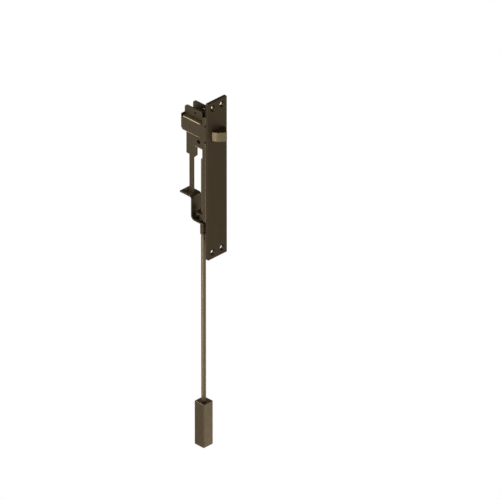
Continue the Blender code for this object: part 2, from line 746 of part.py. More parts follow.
def make_return_spring(material):
    """Torsion spring: a round wire carried along its middle line."""
    line = spring_line()
    bm = bmesh.new()
    rings = []
    aside = Vector((1.0, 0.0, 0.0))
    for index, point in enumerate(line):
        ahead = (line[min(index + 1, len(line) - 1)] - line[max(index - 1, 0)]).normalized()
        aside = (aside - ahead * aside.dot(ahead)).normalized()
        across = ahead.cross(aside)
        ring = []
        for side in range(SPRING_SIDES):
            swing = math.tau * (side + 0.5) / SPRING_SIDES
            offset = aside * math.cos(swing) + across * math.sin(swing)
            ring.append(bm.verts.new(point + offset * (SPRING_WIRE / 2)))
        rings.append(ring)
    for near, far in zip(rings, rings[1:]):
        for side in range(SPRING_SIDES):
            turn = (side + 1) % SPRING_SIDES
            bm.faces.new((near[side], near[turn], far[turn], far[side]))
    bm.faces.new(rings[0][::-1])
    bm.faces.new(rings[-1])
    return smooth(place("return_spring", bm, material), 80.0)


def make_rod(material):
    top = ROD_TOP
    bottom = BOLT_TIP + BOLT_LENGTH - BOLT_SOCKET + FIT
    radius = ROD_DIAMETER / 2
    profile = [
        (bottom, radius - 0.5 * MM),
        (bottom + 0.5 * MM, radius),
        (top - 0.6 * MM, radius),
        (top, radius - 0.6 * MM),
    ]
    return smooth(turned("rod", "Z", 0.0, BACKSET, profile, material))


def make_nut(name, low, material):
    """Thin hexagon nut on the rod."""
    across = NUT_ACROSS / 2 / math.cos(math.pi / 6)
    nut = prism(name, circle(0.0, BACKSET, across, 6), "Z", low, low + NUT_HEIGHT, material)
    return cut(nut, shaft("nut_bore", "Z", 0.0, BACKSET, ROD_DIAMETER / 2 + FIT, low - MM, low + NUT_HEIGHT + MM))


def make_stop_collar(material):
    """Sleeve on the rod that stops against the guide bracket."""
    high = BRACKET_BOTTOM - FIT
    low = high - COLLAR_LENGTH
    edge = 0.5 * MM
    radius = COLLAR_DIAMETER / 2
    profile = [(low, radius - edge), (low + edge, radius), (high - edge, radius), (high, radius - edge)]
    collar = turned("stop_collar", "Z", 0.0, BACKSET, profile, material)
    cut(collar, shaft("collar_bore", "Z", 0.0, BACKSET, ROD_DIAMETER / 2 + FIT, low - MM, high + MM))
    return smooth(collar)


def make_bolt_head(material):
    """Square bolt with rounded edges and a blind socket for the rod."""
    bm = bmesh.new()
    bmesh.ops.create_cube(bm, size=1.0)
    bmesh.ops.scale(bm, vec=(BOLT_SIZE, BOLT_SIZE, BOLT_LENGTH), verts=bm.verts)
    bmesh.ops.translate(bm, vec=(0.0, BACKSET, BOLT_TIP + BOLT_LENGTH / 2), verts=bm.verts)
    bmesh.ops.bevel(bm, geom=list(bm.edges), offset=BOLT_EDGE, offset_type="OFFSET", segments=3,
                    profile=0.5, affect="EDGES", material=-1)
    head = place("bolt_head", bm, material)
    top = BOLT_TIP + BOLT_LENGTH
    cut(head, shaft("rod_socket", "Z", 0.0, BACKSET, ROD_DIAMETER / 2 + FIT, top - BOLT_SOCKET, top + MM))
    return smooth(head)


def build():
    clear_scene()
    plate_bronze = finish("plate_bronze", (0.052, 0.038, 0.024), 0.45, 0.8)
    sheet_bronze = finish("sheet_bronze", (0.082, 0.066, 0.046), 0.42, 0.8)
    rod_bronze = finish("rod_bronze", (0.16, 0.13, 0.085), 0.4, 0.85)
    nose_bronze = finish("nose_bronze", (0.42, 0.37, 0.27), 0.35, 0.9)
    steel = finish("steel", (0.3, 0.29, 0.27), 0.35, 1.0)
    make_face_plate(plate_bronze)
    make_frame(sheet_bronze)
    make_carriage(sheet_bronze)
    for side, sign in (("left", -1), ("right", 1)):
        make_ear_spacer(f"ear_spacer_{side}_low", sign, SPACER_LOW, steel)
        make_ear_spacer(f"ear_spacer_{side}_high", sign, SPACER_HIGH, steel)
        make_rocker_plate(f"rocker_{side}", sign, sheet_bronze)
    cross_pin("ear_pin", (EAR_PIN_Y, EAR_PIN_Z), EAR_PIN, ear_side() - EAR_PIN_RECESS, steel)
    cross_pin("pivot_pin", (PIVOT_Y, PIVOT_Z), PIVOT_PIN, ear_side(), steel)
    cross_pin("rocker_pin", rocker_pin_place(), ROCKER_PIN, rocker_outer() + FIT / 2, steel)
    cross_pin("cam_pin", cam_pin_place(), CAM_PIN, rocker_outer() + FIT / 2, steel)
    make_pivot_spacer(steel)
    make_return_spring(steel)
    make_trigger_nose(nose_bronze)
    make_trigger_slide(sheet_bronze)
    make_trigger_tongue(sheet_bronze)
    for side, z in zip(("low", "high"), rivet_heights()):
        make_trigger_rivet(f"trigger_rivet_{side}", z, steel)
    make_rail(sheet_bronze)
    make_guide_bracket(sheet_bronze)
    make_shelf_stud(sheet_bronze)
    make_rod(rod_bronze)
    nut = BRACKET_BOTTOM + SHEET + FIT
    make_nut("rod_nut_lower", nut, steel)
    make_nut("rod_nut_upper", nut + NUT_HEIGHT + FIT, steel)
    make_stop_collar(sheet_bronze)
    make_bolt_head(rod_bronze)


build()
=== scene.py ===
"""Automatic flush bolt: worked edges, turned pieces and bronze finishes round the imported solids."""
import json
import math

import bmesh
import bpy
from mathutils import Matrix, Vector


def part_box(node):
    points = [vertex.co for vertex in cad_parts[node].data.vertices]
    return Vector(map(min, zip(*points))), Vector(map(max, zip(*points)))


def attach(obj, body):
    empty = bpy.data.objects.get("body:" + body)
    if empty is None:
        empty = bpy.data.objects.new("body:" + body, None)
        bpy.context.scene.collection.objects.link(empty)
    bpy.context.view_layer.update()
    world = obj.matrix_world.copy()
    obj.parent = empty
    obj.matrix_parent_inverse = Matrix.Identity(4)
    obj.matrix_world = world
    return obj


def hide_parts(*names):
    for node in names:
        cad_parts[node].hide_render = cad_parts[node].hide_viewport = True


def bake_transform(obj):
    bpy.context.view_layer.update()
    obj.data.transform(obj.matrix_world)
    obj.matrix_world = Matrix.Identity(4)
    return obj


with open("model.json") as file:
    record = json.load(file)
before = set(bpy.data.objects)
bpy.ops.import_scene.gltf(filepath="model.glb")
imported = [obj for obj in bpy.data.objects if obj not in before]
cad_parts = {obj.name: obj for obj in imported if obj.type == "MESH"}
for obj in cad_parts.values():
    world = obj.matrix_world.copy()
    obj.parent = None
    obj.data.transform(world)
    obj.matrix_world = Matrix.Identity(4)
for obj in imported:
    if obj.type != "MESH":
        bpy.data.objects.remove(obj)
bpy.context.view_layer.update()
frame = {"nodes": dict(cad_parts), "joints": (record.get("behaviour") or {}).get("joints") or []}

MM = 0.001
NODES = frame["nodes"]

# Camera: FRAME_SPAN is the width and height of the picture where it is aimed
CAMERA_AZIMUTH = -45.0
CAMERA_ELEVATION = 30.3
CAMERA_DISTANCE = 18.0
CAMERA_AIM = Vector((21.99, -21.67, -78.98)) * MM
CAMERA_CLIP_END = 60.0
FRAME_SPAN = 476.14 * MM
SENSOR = 36.0

# World: height of the direction where white ends and where the full grey overhead starts
SKY_LOW = 0.0
SKY_HIGH = 0.4
SKY_WHITE = 0.95
SKY_GREY = 0.16

# Lamps: name, place, aim, disc's size in metres, power in watts
PART_AIM = (0.0, 0.01, -0.1)
LAMPS = (
    ("key_front_right", (0.9, -1.5, 0.35), PART_AIM, 0.9, 8.0),
    ("rim_back_left", (-1.1, 1.3, 1.2), PART_AIM, 0.6, 60.0),
    ("low_left", (-1.6, -0.05, -1.1), PART_AIM, 0.8, 10.0),
    ("low_front", (-1.22, -1.22, -1.1), PART_AIM, 0.8, 2.6),
    ("under_rear", (0.0, 1.2, -1.6), PART_AIM, 0.7, 7.0),
    ("front_glint", (-0.72, -1.42, 0.75), PART_AIM, 0.3, 9.0),
    ("bolt_top", (0.25, 0.27, -0.08), (0.0, 0.02, -0.288), 0.1, 0.025),
    ("bolt_front", (0.25, -0.25, -0.5), (0.0, 0.02, -0.28), 0.1, 0.2),
)

# Widths of the broken edges
SHEET_EDGE = 0.22 * MM
PLATE_EDGE = 0.3 * MM
NOSE_EDGE = 0.45 * MM
NUT_EDGE = 0.3 * MM
SMALL_EDGE = 0.15 * MM
BOLT_EDGE = 0.04 * MM
PIN_EDGE = 0.25 * MM
STUD_EDGE = 0.45 * MM
COLLAR_EDGE = 0.35 * MM

# Meshes: welding distance, and in degrees what still counts as flat and what as a sharp edge
MERGE = 0.002 * MM
FLAT_ANGLE = 0.6
SHARP_ANGLE = 34.0

# Weighted normals: at 100 the large faces decide alone, 50 is even
SHADING_WEIGHT = 100
NOSE_SHADING_WEIGHT = 50

# Turned pieces: steps round the axis, how many corner rounds a side has room for, and for each
# axis its own direction and the one in which the radii are laid out
ROUND_STEPS = 64
BAR_STEPS = 48
RIVET_STEPS = 40
ROUNDS_PER_SIDE = 2.2
ALONG = {"X": Vector((1, 0, 0)), "Y": Vector((0, 1, 0)), "Z": Vector((0, 0, 1))}
OUTWARD = {"X": Vector((0, 0, 1)), "Y": Vector((0, 0, 1)), "Z": Vector((1, 0, 0))}

# Face plate: corners, the trigger's slot, and the screw holes, shifted as the light in them shows
PLATE_CORNER = 0.8 * MM
PLATE_CORNER_STEPS = 6
PLATE_EDGE_STEPS = 4
PLATE_FRONT_BAND = 0.01 * MM
SLOT_GAP = 0.15 * MM
SLOT_CORNER_STEPS = 5
SCREW_HOLE = 3.6 * MM
SCREW_SINK = 7.2 * MM
SCREW_SHIFT = (0.4 * MM, -0.2 * MM)
SCREW_SPREAD = 12.4 * MM
SCREW_INSET = 7.0 * MM

# Ear pin: how far its ends lie inside the ears, the room round it in their holes, and how far
# the holes' cutter reaches past it
EAR_PIN_RECESS = 0.2 * MM
EAR_PIN_RADIUS = 2.15 * MM
EAR_PIN_GAP = 0.04 * MM
EAR_CUT_BEYOND = 3.0 * MM

# Strap's rear tie: its top edge, and how far that is moved up
TIE_TOP = 56.2 * MM
TIE_TOP_BAND = 0.05 * MM
TIE_FRONT = 30.0 * MM
TIE_LIFT = 3.2 * MM

# Rail: how far the ends of its wide part are moved up, in front of and behind the bar
RAIL_END = 14.0 * MM
RAIL_BAR_LOW = 5.0 * MM
RAIL_LIFT_FRONT = 0.9 * MM
RAIL_LIFT_REAR = 3.0 * MM

# Rod: its threads' form, and how far they reach from its ends
THREAD_PITCH = 0.8 * MM
THREAD_DEPTH = 0.2 * MM
THREAD_RINGS = 6
THREAD_CORE = THREAD_DEPTH * 3
ROD_TOP_THREAD = 70.0 * MM
ROD_END_THREAD = 18.0 * MM
ROD_CHAMFER = 0.5 * MM

# Sleeves: the room in their bores, and the collar's two grooves
BORE_GAP = 0.08 * MM
GROOVE_DEPTH = 0.35 * MM
GROOVE_INSET = 3.0 * MM
GROOVE_HALF_TOP = 0.4 * MM
GROOVE_HALF_FLOOR = 0.25 * MM

# Rivets: height of the domed head, and the shank's radius as a share of the head's
RIVET_HEAD = 0.8 * MM
RIVET_HEAD_STEPS = 6
RIVET_SHANK_SHARE = 0.615

# Shelf stud: shank's radius, heights of its seat and its riveted end, that end's flare, the slot
STUD_SHANK = 1.5 * MM
STUD_SEAT = 1.9 * MM
STUD_END = 0.7 * MM
STUD_END_FLARE = 0.5 * MM
STUD_END_TOP_FLARE = 0.2 * MM
STUD_SLOT_WIDTH = 1.0 * MM
STUD_SLOT_DEPTH = 0.8 * MM

# Return spring: middle radius of its coil, and how far from the pivot its hook is
SPRING_COIL = 2.25 * MM
SPRING_HOOK = 6.0 * MM
SPRING_HOOK_BEND = 0.5 * MM
SPRING_HOOK_STEPS = 8
SPRING_SIDE_GAP = 0.3 * MM
SPRING_EXTRA_TURNS = 1
SPRING_WIRE = 0.5 * MM
SPRING_TURN_STEPS = 40
WIRE_SIDES = 12


def tone(red, green, blue):
    """An 8-bit display colour as linear light."""
    def linear(value):
        share = value / 255
        return share / 12.92 if share <= 0.04045 else ((share + 0.055) / 1.055) ** 2.4
    return linear(red), linear(green), linear(blue), 1.0


PLATE_TONE = tone(57, 48, 37)
SHEET_TONE = tone(71, 63, 51)
ROD_TONE = tone(92, 82, 64)
BOLT_TONE = tone(72, 63, 50)
NOSE_TONE = tone(101, 89, 68)
COLLAR_TONE = tone(66, 56, 43)
# The nuts' darker tone is painted shade for the dark inside of the frame round them.
NUT_PAINTED_SHADE_TONE = tone(52, 46, 37)
STEEL_TONE = tone(150, 144, 132)
# Black for the ear pin: painted shade that keeps the holes in the ears dark.
HOLE_SHADE_BLACK = tone(8, 7, 6)
WARM_EDGE = (1.0, 0.84, 0.62, 1.0)   # colour of reflections at a glancing angle

# Finishes: clouds in the colour, drawn grain, and edges painted lighter where the bevelled normal
# leans away, partly as rubbing and partly as a painted highlight. A grain is the noise's scale along
# X, Y and Z, least along the drawn lines.
CLOUD_SCALE = 150.0
CLOUD_DARK = 0.3
CLOUD_LIGHT = 0.72
GRAIN_SCALE = 5200.0
GRAIN_STRENGTH = 0.15
GRAIN_DEPTH = 0.02 * MM
GRAIN_SMOOTHER = 0.07
GRAIN_ROUGHER = 0.09
GRAIN_UPRIGHT = (1.0, 1.0, 0.06)
GRAIN_SHEET = (1.0, 0.15, 0.3)
GRAIN_ROD = (0.4, 0.4, 0.03)
ROD_GRAIN_DEPTH = 0.004 * MM
EDGE_WEAR_AND_HIGHLIGHT_WIDTH = 0.35 * MM
EDGE_WEAR_AND_HIGHLIGHT_FROM = 0.995
EDGE_WEAR_AND_HIGHLIGHT_FULLY = 0.86
EDGE_WEAR_AND_HIGHLIGHT_GAIN = 2.3
HOLE_SHADE_SPECULAR = 0.1


def add_node(tree, kind, **settings):
    node = tree.nodes.new(kind)
    for key, value in settings.items():
        if key in node.inputs:
            node.inputs[key].default_value = value
        else:
            setattr(node, key, value)
    return node


def set_ramp(node, low, low_colour, high, high_colour):
    """Set the two ends of a colour ramp."""
    first, last = node.color_ramp.elements
    first.position = low
    last.position = high
    first.color = low_colour
    last.color = high_colour


def shaded(colour, share):
    """A colour made darker or lighter, up to white."""
    return (*(min(1.0, part * share) for part in colour[:3]), 1.0)


def bronze(name, colour, roughness, metallic=0.95, mottle=0.06, grain=GRAIN_UPRIGHT,
           depth=GRAIN_DEPTH, edge_wear_and_highlight=0.1):
    """Oiled bronze: cloudy colour, a drawn grain along one axis, and edges painted lighter, partly as
    rubbing and partly as a painted highlight.
    """
    material = bpy.data.materials.new(name)
    material.use_nodes = True
    tree = material.node_tree
    link = tree.links.new
    shader = tree.nodes["Principled BSDF"]
    shader.inputs["Metallic"].default_value = metallic
    shader.inputs["Specular Tint"].default_value = WARM_EDGE
    place = add_node(tree, "ShaderNodeTexCoord")

    cloud = add_node(tree, "ShaderNodeTexNoise", Scale=CLOUD_SCALE, Detail=4.0, Roughness=0.55)
    link(place.outputs["Object"], cloud.inputs["Vector"])
    shade = add_node(tree, "ShaderNodeValToRGB")
    set_ramp(shade, CLOUD_DARK, shaded(colour, 1 - mottle), CLOUD_LIGHT, shaded(colour, 1 + mottle))
    link(cloud.outputs["Fac"], shade.inputs["Fac"])

    stretch = add_node(tree, "ShaderNodeMapping", Scale=grain)
    link(place.outputs["Object"], stretch.inputs["Vector"])
    lines = add_node(tree, "ShaderNodeTexNoise", Scale=GRAIN_SCALE, Detail=3.0, Roughness=0.6)
    link(stretch.outputs["Vector"], lines.inputs["Vector"])

    # Edges lighter where the bevelled normal leans away: partly rubbing, partly a painted highlight.
    edge = add_node(tree, "ShaderNodeBevel", samples=4, Radius=EDGE_WEAR_AND_HIGHLIGHT_WIDTH)
    normal = add_node(tree, "ShaderNodeNewGeometry")
    turn = add_node(tree, "ShaderNodeVectorMath", operation="DOT_PRODUCT")
    link(edge.outputs["Normal"], turn.inputs[0])
    link(normal.outputs["Normal"], turn.inputs[1])
    edge_wear_and_highlight_mask = add_node(tree, "ShaderNodeMapRange")
    edge_wear_and_highlight_mask.inputs["From Min"].default_value = EDGE_WEAR_AND_HIGHLIGHT_FROM
    edge_wear_and_highlight_mask.inputs["From Max"].default_value = EDGE_WEAR_AND_HIGHLIGHT_FULLY
    edge_wear_and_highlight_mask.inputs["To Max"].default_value = edge_wear_and_highlight
    link(turn.outputs["Value"], edge_wear_and_highlight_mask.inputs["Value"])
    edge_wear_and_highlight_mix = add_node(tree, "ShaderNodeMix", data_type="RGBA")
    edge_wear_and_highlight_mix.inputs["B"].default_value = shaded(colour, EDGE_WEAR_AND_HIGHLIGHT_GAIN)
    link(edge_wear_and_highlight_mask.outputs["Result"], edge_wear_and_highlight_mix.inputs["Factor"])
    link(shade.outputs["Color"], edge_wear_and_highlight_mix.inputs["A"])
    link(edge_wear_and_highlight_mix.outputs["Result"], shader.inputs["Base Color"])

    sheen = add_node(tree, "ShaderNodeMapRange")
    sheen.inputs["To Min"].default_value = roughness - GRAIN_SMOOTHER
    sheen.inputs["To Max"].default_value = roughness + GRAIN_ROUGHER
    link(lines.outputs["Fac"], sheen.inputs["Value"])
    link(sheen.outputs["Result"], shader.inputs["Roughness"])
    relief = add_node(tree, "ShaderNodeBump", Strength=GRAIN_STRENGTH, Distance=depth)
    link(lines.outputs["Fac"], relief.inputs["Height"])
    link(relief.outputs["Normal"], shader.inputs["Normal"])
    return material


def put(name, bm, material, body, slot, *nodes):
    """Finish a mesh as a piece, on a body unless it bends, standing for the nodes it replaces."""
    mesh = bpy.data.meshes.new(name)
    bm.to_mesh(mesh)
    bm.free()
    piece = bpy.data.objects.new(name, mesh)
    bpy.context.scene.collection.objects.link(piece)
    mesh.materials.append(material)
    mesh.shade_smooth()
    if body:
        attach(piece, body)
    if nodes:
        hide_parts(*nodes)
    return piece


def break_edges(piece, edge, segments=2):
    """Round the sharp edges a little and shade the flat faces flat."""
    rounds = piece.modifiers.new("edges", "BEVEL")
    rounds.width = edge
    rounds.segments = segments
    rounds.limit_method = "ANGLE"
    rounds.angle_limit = math.radians(SHARP_ANGLE)
    rounds.use_clamp_overlap = True
    shading = piece.modifiers.new("shading", "WEIGHTED_NORMAL")
    shading.weight = SHADING_WEIGHT
    shading.keep_sharp = True


def carve(piece, bm):
    """Cut a closed shape out of a piece and keep the result as its mesh."""
    mesh = bpy.data.meshes.new("cutter")
    bm.to_mesh(mesh)
    bm.free()
    cutter = bpy.data.objects.new("cutter", mesh)
    bpy.context.scene.collection.objects.link(cutter)
    cut = piece.modifiers.new("cut", "BOOLEAN")
    cut.operation = "DIFFERENCE"
    cut.object = cutter
    graph = bpy.context.evaluated_depsgraph_get()
    result = bpy.data.meshes.new_from_object(piece.evaluated_get(graph))
    piece.modifiers.remove(cut)
    piece.data = result
    result.shade_smooth()
    result.set_sharp_from_angle(angle=math.radians(SHARP_ANGLE))
    bpy.data.objects.remove(cutter, do_unlink=True)


def node_mesh(node):
    """A node's own shape, with each flat face in one."""
    bm = bmesh.new()
    bm.from_mesh(NODES[node].data)
    bmesh.ops.remove_doubles(bm, verts=bm.verts, dist=MERGE)
    bmesh.ops.dissolve_limit(bm, angle_limit=math.radians(FLAT_ANGLE),
                             verts=bm.verts, edges=bm.edges)
    return bm


def worked(node, material, body, slot, edge, segments=2):
    """A node's own shape with its edges broken by a small round."""
    piece = put(node + "_worked", node_mesh(node), material, body, slot, node)
    break_edges(piece, edge, segments)
    return piece


def middle(node):
    low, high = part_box(node)
    return (low + high) / 2


def box_mesh(size, centre):
    bm = bmesh.new()
    bmesh.ops.create_cube(bm, size=1.0)
    bmesh.ops.scale(bm, vec=size, verts=bm.verts)
    bmesh.ops.translate(bm, vec=centre, verts=bm.verts)
    return bm


def round_edges(bm, edges, radius, steps, clamp=False):
    bmesh.ops.bevel(bm, geom=edges, offset=radius, segments=steps, profile=0.5,
                    affect="EDGES", offset_type="OFFSET", clamp_overlap=clamp)


def edges_along_y(bm):
    return [edge for edge in bm.edges if abs(edge.verts[0].co.y - edge.verts[1].co.y) > MM]


def bar(low, high, radius):
    """Profile of a plain round bar."""
    return [(low, 0.0), (low, radius), (high, radius), (high, 0.0)]


def lathe(profile, centre, axis, steps=ROUND_STEPS):
    """Spin a profile of (place along the axis, radius) round an axis through centre."""
    bm = bmesh.new()
    along = ALONG[axis]
    out = OUTWARD[axis]
    base = centre - along * centre.dot(along)
    verts = [bm.verts.new(base + along * at + out * radius) for at, radius in profile]
    edges = [bm.edges.new(pair) for pair in zip(verts, verts[1:])]
    bmesh.ops.spin(bm, geom=verts + edges, cent=base, axis=along, dvec=(0, 0, 0),
                   angle=math.tau, steps=steps, use_merge=True)
    bmesh.ops.remove_doubles(bm, verts=bm.verts, dist=MERGE)
    bmesh.ops.recalc_face_normals(bm, faces=bm.faces)
    return bm


def softened(points, edge):
    """Break each inner corner of a profile with a three-point round that fits its sides."""
    out = [points[0]]
    for before, here, after in zip(points, points[1:], points[2:]):
        corner = Vector(here)
        back = Vector(before) - corner
        ahead = Vector(after) - corner
        reach = min(edge, back.length / ROUNDS_PER_SIDE, ahead.length / ROUNDS_PER_SIDE)
        first = corner + back.normalized() * reach
        last = corner + ahead.normalized() * reach
        chord_middle = (first + last) / 2
        bulge = (corner + chord_middle) / 2
        out += [tuple(first), tuple(bulge), tuple(last)]
    out.append(points[-1])
    return out


def rings(low, high, radius):
    """Closely spaced profile points for a threaded length."""
    count = int((high - low) / THREAD_PITCH * THREAD_RINGS)
    return [(low + (high - low) * step / count, radius) for step in range(1, count)]


def cut_thread(bm, centre, low, high):
    """Move a round bar's skin inwards along a helix between two heights."""
    for vert in bm.verts:
        if not low <= vert.co.z <= high:
            continue
        arm = Vector((vert.co.x - centre.x, vert.co.y - centre.y, 0.0))
        if arm.length < THREAD_CORE:
            continue
        turn = math.atan2(arm.y, arm.x) / math.tau
        phase = ((vert.co.z - low) / THREAD_PITCH - turn) % 1.0
        fade = min(1.0, (vert.co.z - low) / THREAD_PITCH, (high - vert.co.z) / THREAD_PITCH)
        vert.co -= arm.normalized() * THREAD_DEPTH * fade * abs(2 * phase - 1)


def plate_blank():
    """Bar stock of the face plate, with rounded corners and a rounded front rim."""
    low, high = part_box("face_plate")
    bm = box_mesh(high - low, middle("face_plate"))
    round_edges(bm, edges_along_y(bm), PLATE_CORNER, PLATE_CORNER_STEPS)
    rim = [edge for edge in bm.edges
           if max(vert.co.y for vert in edge.verts) < low.y + PLATE_FRONT_BAND]
    round_edges(bm, rim, PLATE_EDGE, PLATE_EDGE_STEPS, clamp=True)
    return bm


def slot_cutter(depth):
    """Cutter for the slot round the trigger's nose, centred on the plate's front."""
    low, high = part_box("trigger_nose")
    size = (high.x - low.x + SLOT_GAP * 2, depth, high.z - low.z + SLOT_GAP * 2)
    bm = box_mesh(size, (0.0, 0.0, middle("trigger_nose").z))
    round_edges(bm, edges_along_y(bm), PLATE_CORNER, SLOT_CORNER_STEPS)
    return bm


def make_plate(material):
    """Face plate with the trigger's slot and four round countersinks."""
    low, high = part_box("face_plate")
    plate = put("face_plate_milled", plate_blank(), material, "case", "plate_bronze", "face_plate")
    through = high.y * 4
    carve(plate, slot_cutter(through))
    depth = (SCREW_SINK - SCREW_HOLE) / 2
    profile = [(low.y - MM, 0.0), (low.y - MM, SCREW_SINK / 2 + MM),
               (low.y + depth, SCREW_HOLE / 2), (high.y + MM, SCREW_HOLE / 2), (high.y + MM, 0.0)]
    for x in (-SCREW_SPREAD / 2, SCREW_SPREAD / 2):
        for z in (low.z + SCREW_INSET, high.z - SCREW_INSET):
            centre = Vector((x + SCREW_SHIFT[0], 0.0, z + SCREW_SHIFT[1]))
            carve(plate, lathe(profile, centre, "Y", BAR_STEPS))
    break_edges(plate, SMALL_EDGE)


def make_frame_channel(material):
    """Frame's own shape, with the strap's rear tie as high as its walls."""
    channel = worked("frame_channel", material, "case", "sheet_bronze", SHEET_EDGE)
    for vert in channel.data.vertices:
        if vert.co.y > TIE_FRONT and abs(vert.co.z - TIE_TOP) < TIE_TOP_BAND:
            vert.co.z += TIE_LIFT


def make_carriage(material):
    """Carriage's own shape, with the ear pin's holes opened to the drawn pin."""
    carriage = put("carriage_worked", node_mesh("carriage"), material,
                   "case", "sheet_bronze", "carriage")
    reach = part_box("ear_pin")[1].x + EAR_CUT_BEYOND
    profile = bar(-reach, reach, EAR_PIN_RADIUS + EAR_PIN_GAP)
    carve(carriage, lathe(profile, middle("ear_pin"), "X", BAR_STEPS))
    break_edges(carriage, SMALL_EDGE)


def make_ear_pin(material):
    """Cross pin that ends just inside the ears, so their holes stay dark."""
    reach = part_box("ear_pin")[1].x - EAR_PIN_RECESS
    profile = bar(-reach, reach, EAR_PIN_RADIUS)
    bm = lathe(softened(profile, PIN_EDGE), middle("ear_pin"), "X")
    put("ear_pin_turned", bm, material, "case", "steel", "ear_pin")


def make_pin(node, body, material):
    """Turned cross pin with softly rounded ends, the size of its node."""
    low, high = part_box(node)
    profile = bar(low.x, high.x, (high.z - low.z) / 2)
    bm = lathe(softened(profile, PIN_EDGE), middle(node), "X")
    put(node + "_turned", bm, material, body, "steel", node)


def make_pivot_spacer(material):
    """Turned sleeve with its bore closed down to the pivot pin."""
    low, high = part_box("pivot_spacer")
    outer = (high.z - low.z) / 2
    pin_low, pin_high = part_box("pivot_pin")
    bore = (pin_high.z - pin_low.z) / 2 + BORE_GAP
    profile = [(low.x, bore), (low.x, outer), (high.x, outer), (high.x, bore), (low.x, bore)]
    bm = lathe(softened(profile, PIN_EDGE), middle("pivot_spacer"), "X")
    put("pivot_spacer_turned", bm, material, "case", "steel", "pivot_spacer")


def make_rivet(node, material):
    """Rivet with a domed head behind the slide's web."""
    low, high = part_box(node)
    head = (high.x - low.x) / 2
    shank = head * RIVET_SHANK_SHARE
    seat = high.y - RIVET_HEAD
    profile = [(low.y, 0.0), (low.y, shank), (seat, shank), (seat, head)]
    for step in range(1, RIVET_HEAD_STEPS):
        swing = math.pi / 2 * step / RIVET_HEAD_STEPS
        profile.append((seat + RIVET_HEAD * math.sin(swing), head * math.cos(swing)))
    profile.append((high.y, 0.0))
    bm = lathe(profile, middle(node), "Y", RIVET_STEPS)
    put(node + "_turned", bm, material, "trigger", "steel", node)


def make_rail(material):
    """Rail's own shape, with the ends of its wide part where the photographed ones are."""
    rail = worked("rail", material, "bolt", "sheet_bronze", SHEET_EDGE)
    narrow = [vert.co.y for vert in rail.data.vertices if vert.co.z < RAIL_BAR_LOW]
    narrow_middle = (min(narrow) + max(narrow)) / 2
    for vert in rail.data.vertices:
        if RAIL_BAR_LOW < vert.co.z < RAIL_END:
            vert.co.z += RAIL_LIFT_REAR if vert.co.y > narrow_middle else RAIL_LIFT_FRONT


def make_stud(material):
    """Shelf stud: a cheese head with a screwdriver slot under the shelf."""
    low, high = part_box("shelf_stud")
    head = (high.x - low.x) / 2
    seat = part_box("guide_bracket")[1].z - STUD_SEAT
    top = high.z - STUD_END
    profile = [(low.z, 0.0), (low.z, head), (seat, head), (seat, STUD_SHANK), (top, STUD_SHANK),
               (top, STUD_SHANK + STUD_END_FLARE), (high.z, STUD_SHANK + STUD_END_TOP_FLARE),
               (high.z, 0.0)]
    bm = lathe(softened(profile, STUD_EDGE), middle("shelf_stud"), "Z")
    stud = put("shelf_stud_turned", bm, material, "bolt", "sheet_bronze", "shelf_stud")
    end = middle("shelf_stud") * Vector((1, 1, 0)) + Vector((0, 0, low.z))
    across = head * 3
    carve(stud, box_mesh((across, STUD_SLOT_WIDTH, STUD_SLOT_DEPTH * 2), end))


def make_rod(material):
    """Drawn rod with chamfered ends and a thread on both."""
    low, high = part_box("rod")
    radius = (high.x - low.x) / 2
    centre = middle("rod")
    end_thread = (low.z + ROD_CHAMFER, low.z + ROD_END_THREAD)
    top_thread = (high.z - ROD_TOP_THREAD, high.z - ROD_CHAMFER)
    profile = [(low.z, 0.0), (low.z, radius - ROD_CHAMFER)]
    for start, stop in (end_thread, top_thread):
        profile += [(start, radius), *rings(start, stop, radius), (stop, radius)]
    profile += [(high.z, radius - ROD_CHAMFER), (high.z, 0.0)]
    bm = lathe(profile, centre, "Z", BAR_STEPS)
    cut_thread(bm, centre, *end_thread)
    cut_thread(bm, centre, *top_thread)
    put("rod_threaded", bm, material, "bolt", "rod_bronze", "rod")


def make_collar(material):
    """Collar with a broken edge at both ends and two shallow grooves."""
    low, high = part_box("stop_collar")
    outer = (high.x - low.x) / 2
    rod_low, rod_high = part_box("rod")
    bore = (rod_high.x - rod_low.x) / 2 + BORE_GAP
    profile = [(low.z, bore), (low.z, outer)]
    for z in (low.z + GROOVE_INSET, high.z - GROOVE_INSET):
        profile += [(z - GROOVE_HALF_TOP, outer), (z - GROOVE_HALF_FLOOR, outer - GROOVE_DEPTH),
                    (z + GROOVE_HALF_FLOOR, outer - GROOVE_DEPTH), (z + GROOVE_HALF_TOP, outer)]
    profile += [(high.z, outer), (high.z, bore), (low.z, bore)]
    bm = lathe(softened(profile, COLLAR_EDGE), middle("stop_collar"), "Z")
    put("stop_collar_turned", bm, material, "bolt", "sheet_bronze", "stop_collar")


def joint_named(name):
    return next(joint for joint in frame["joints"] if joint["name"] == name)


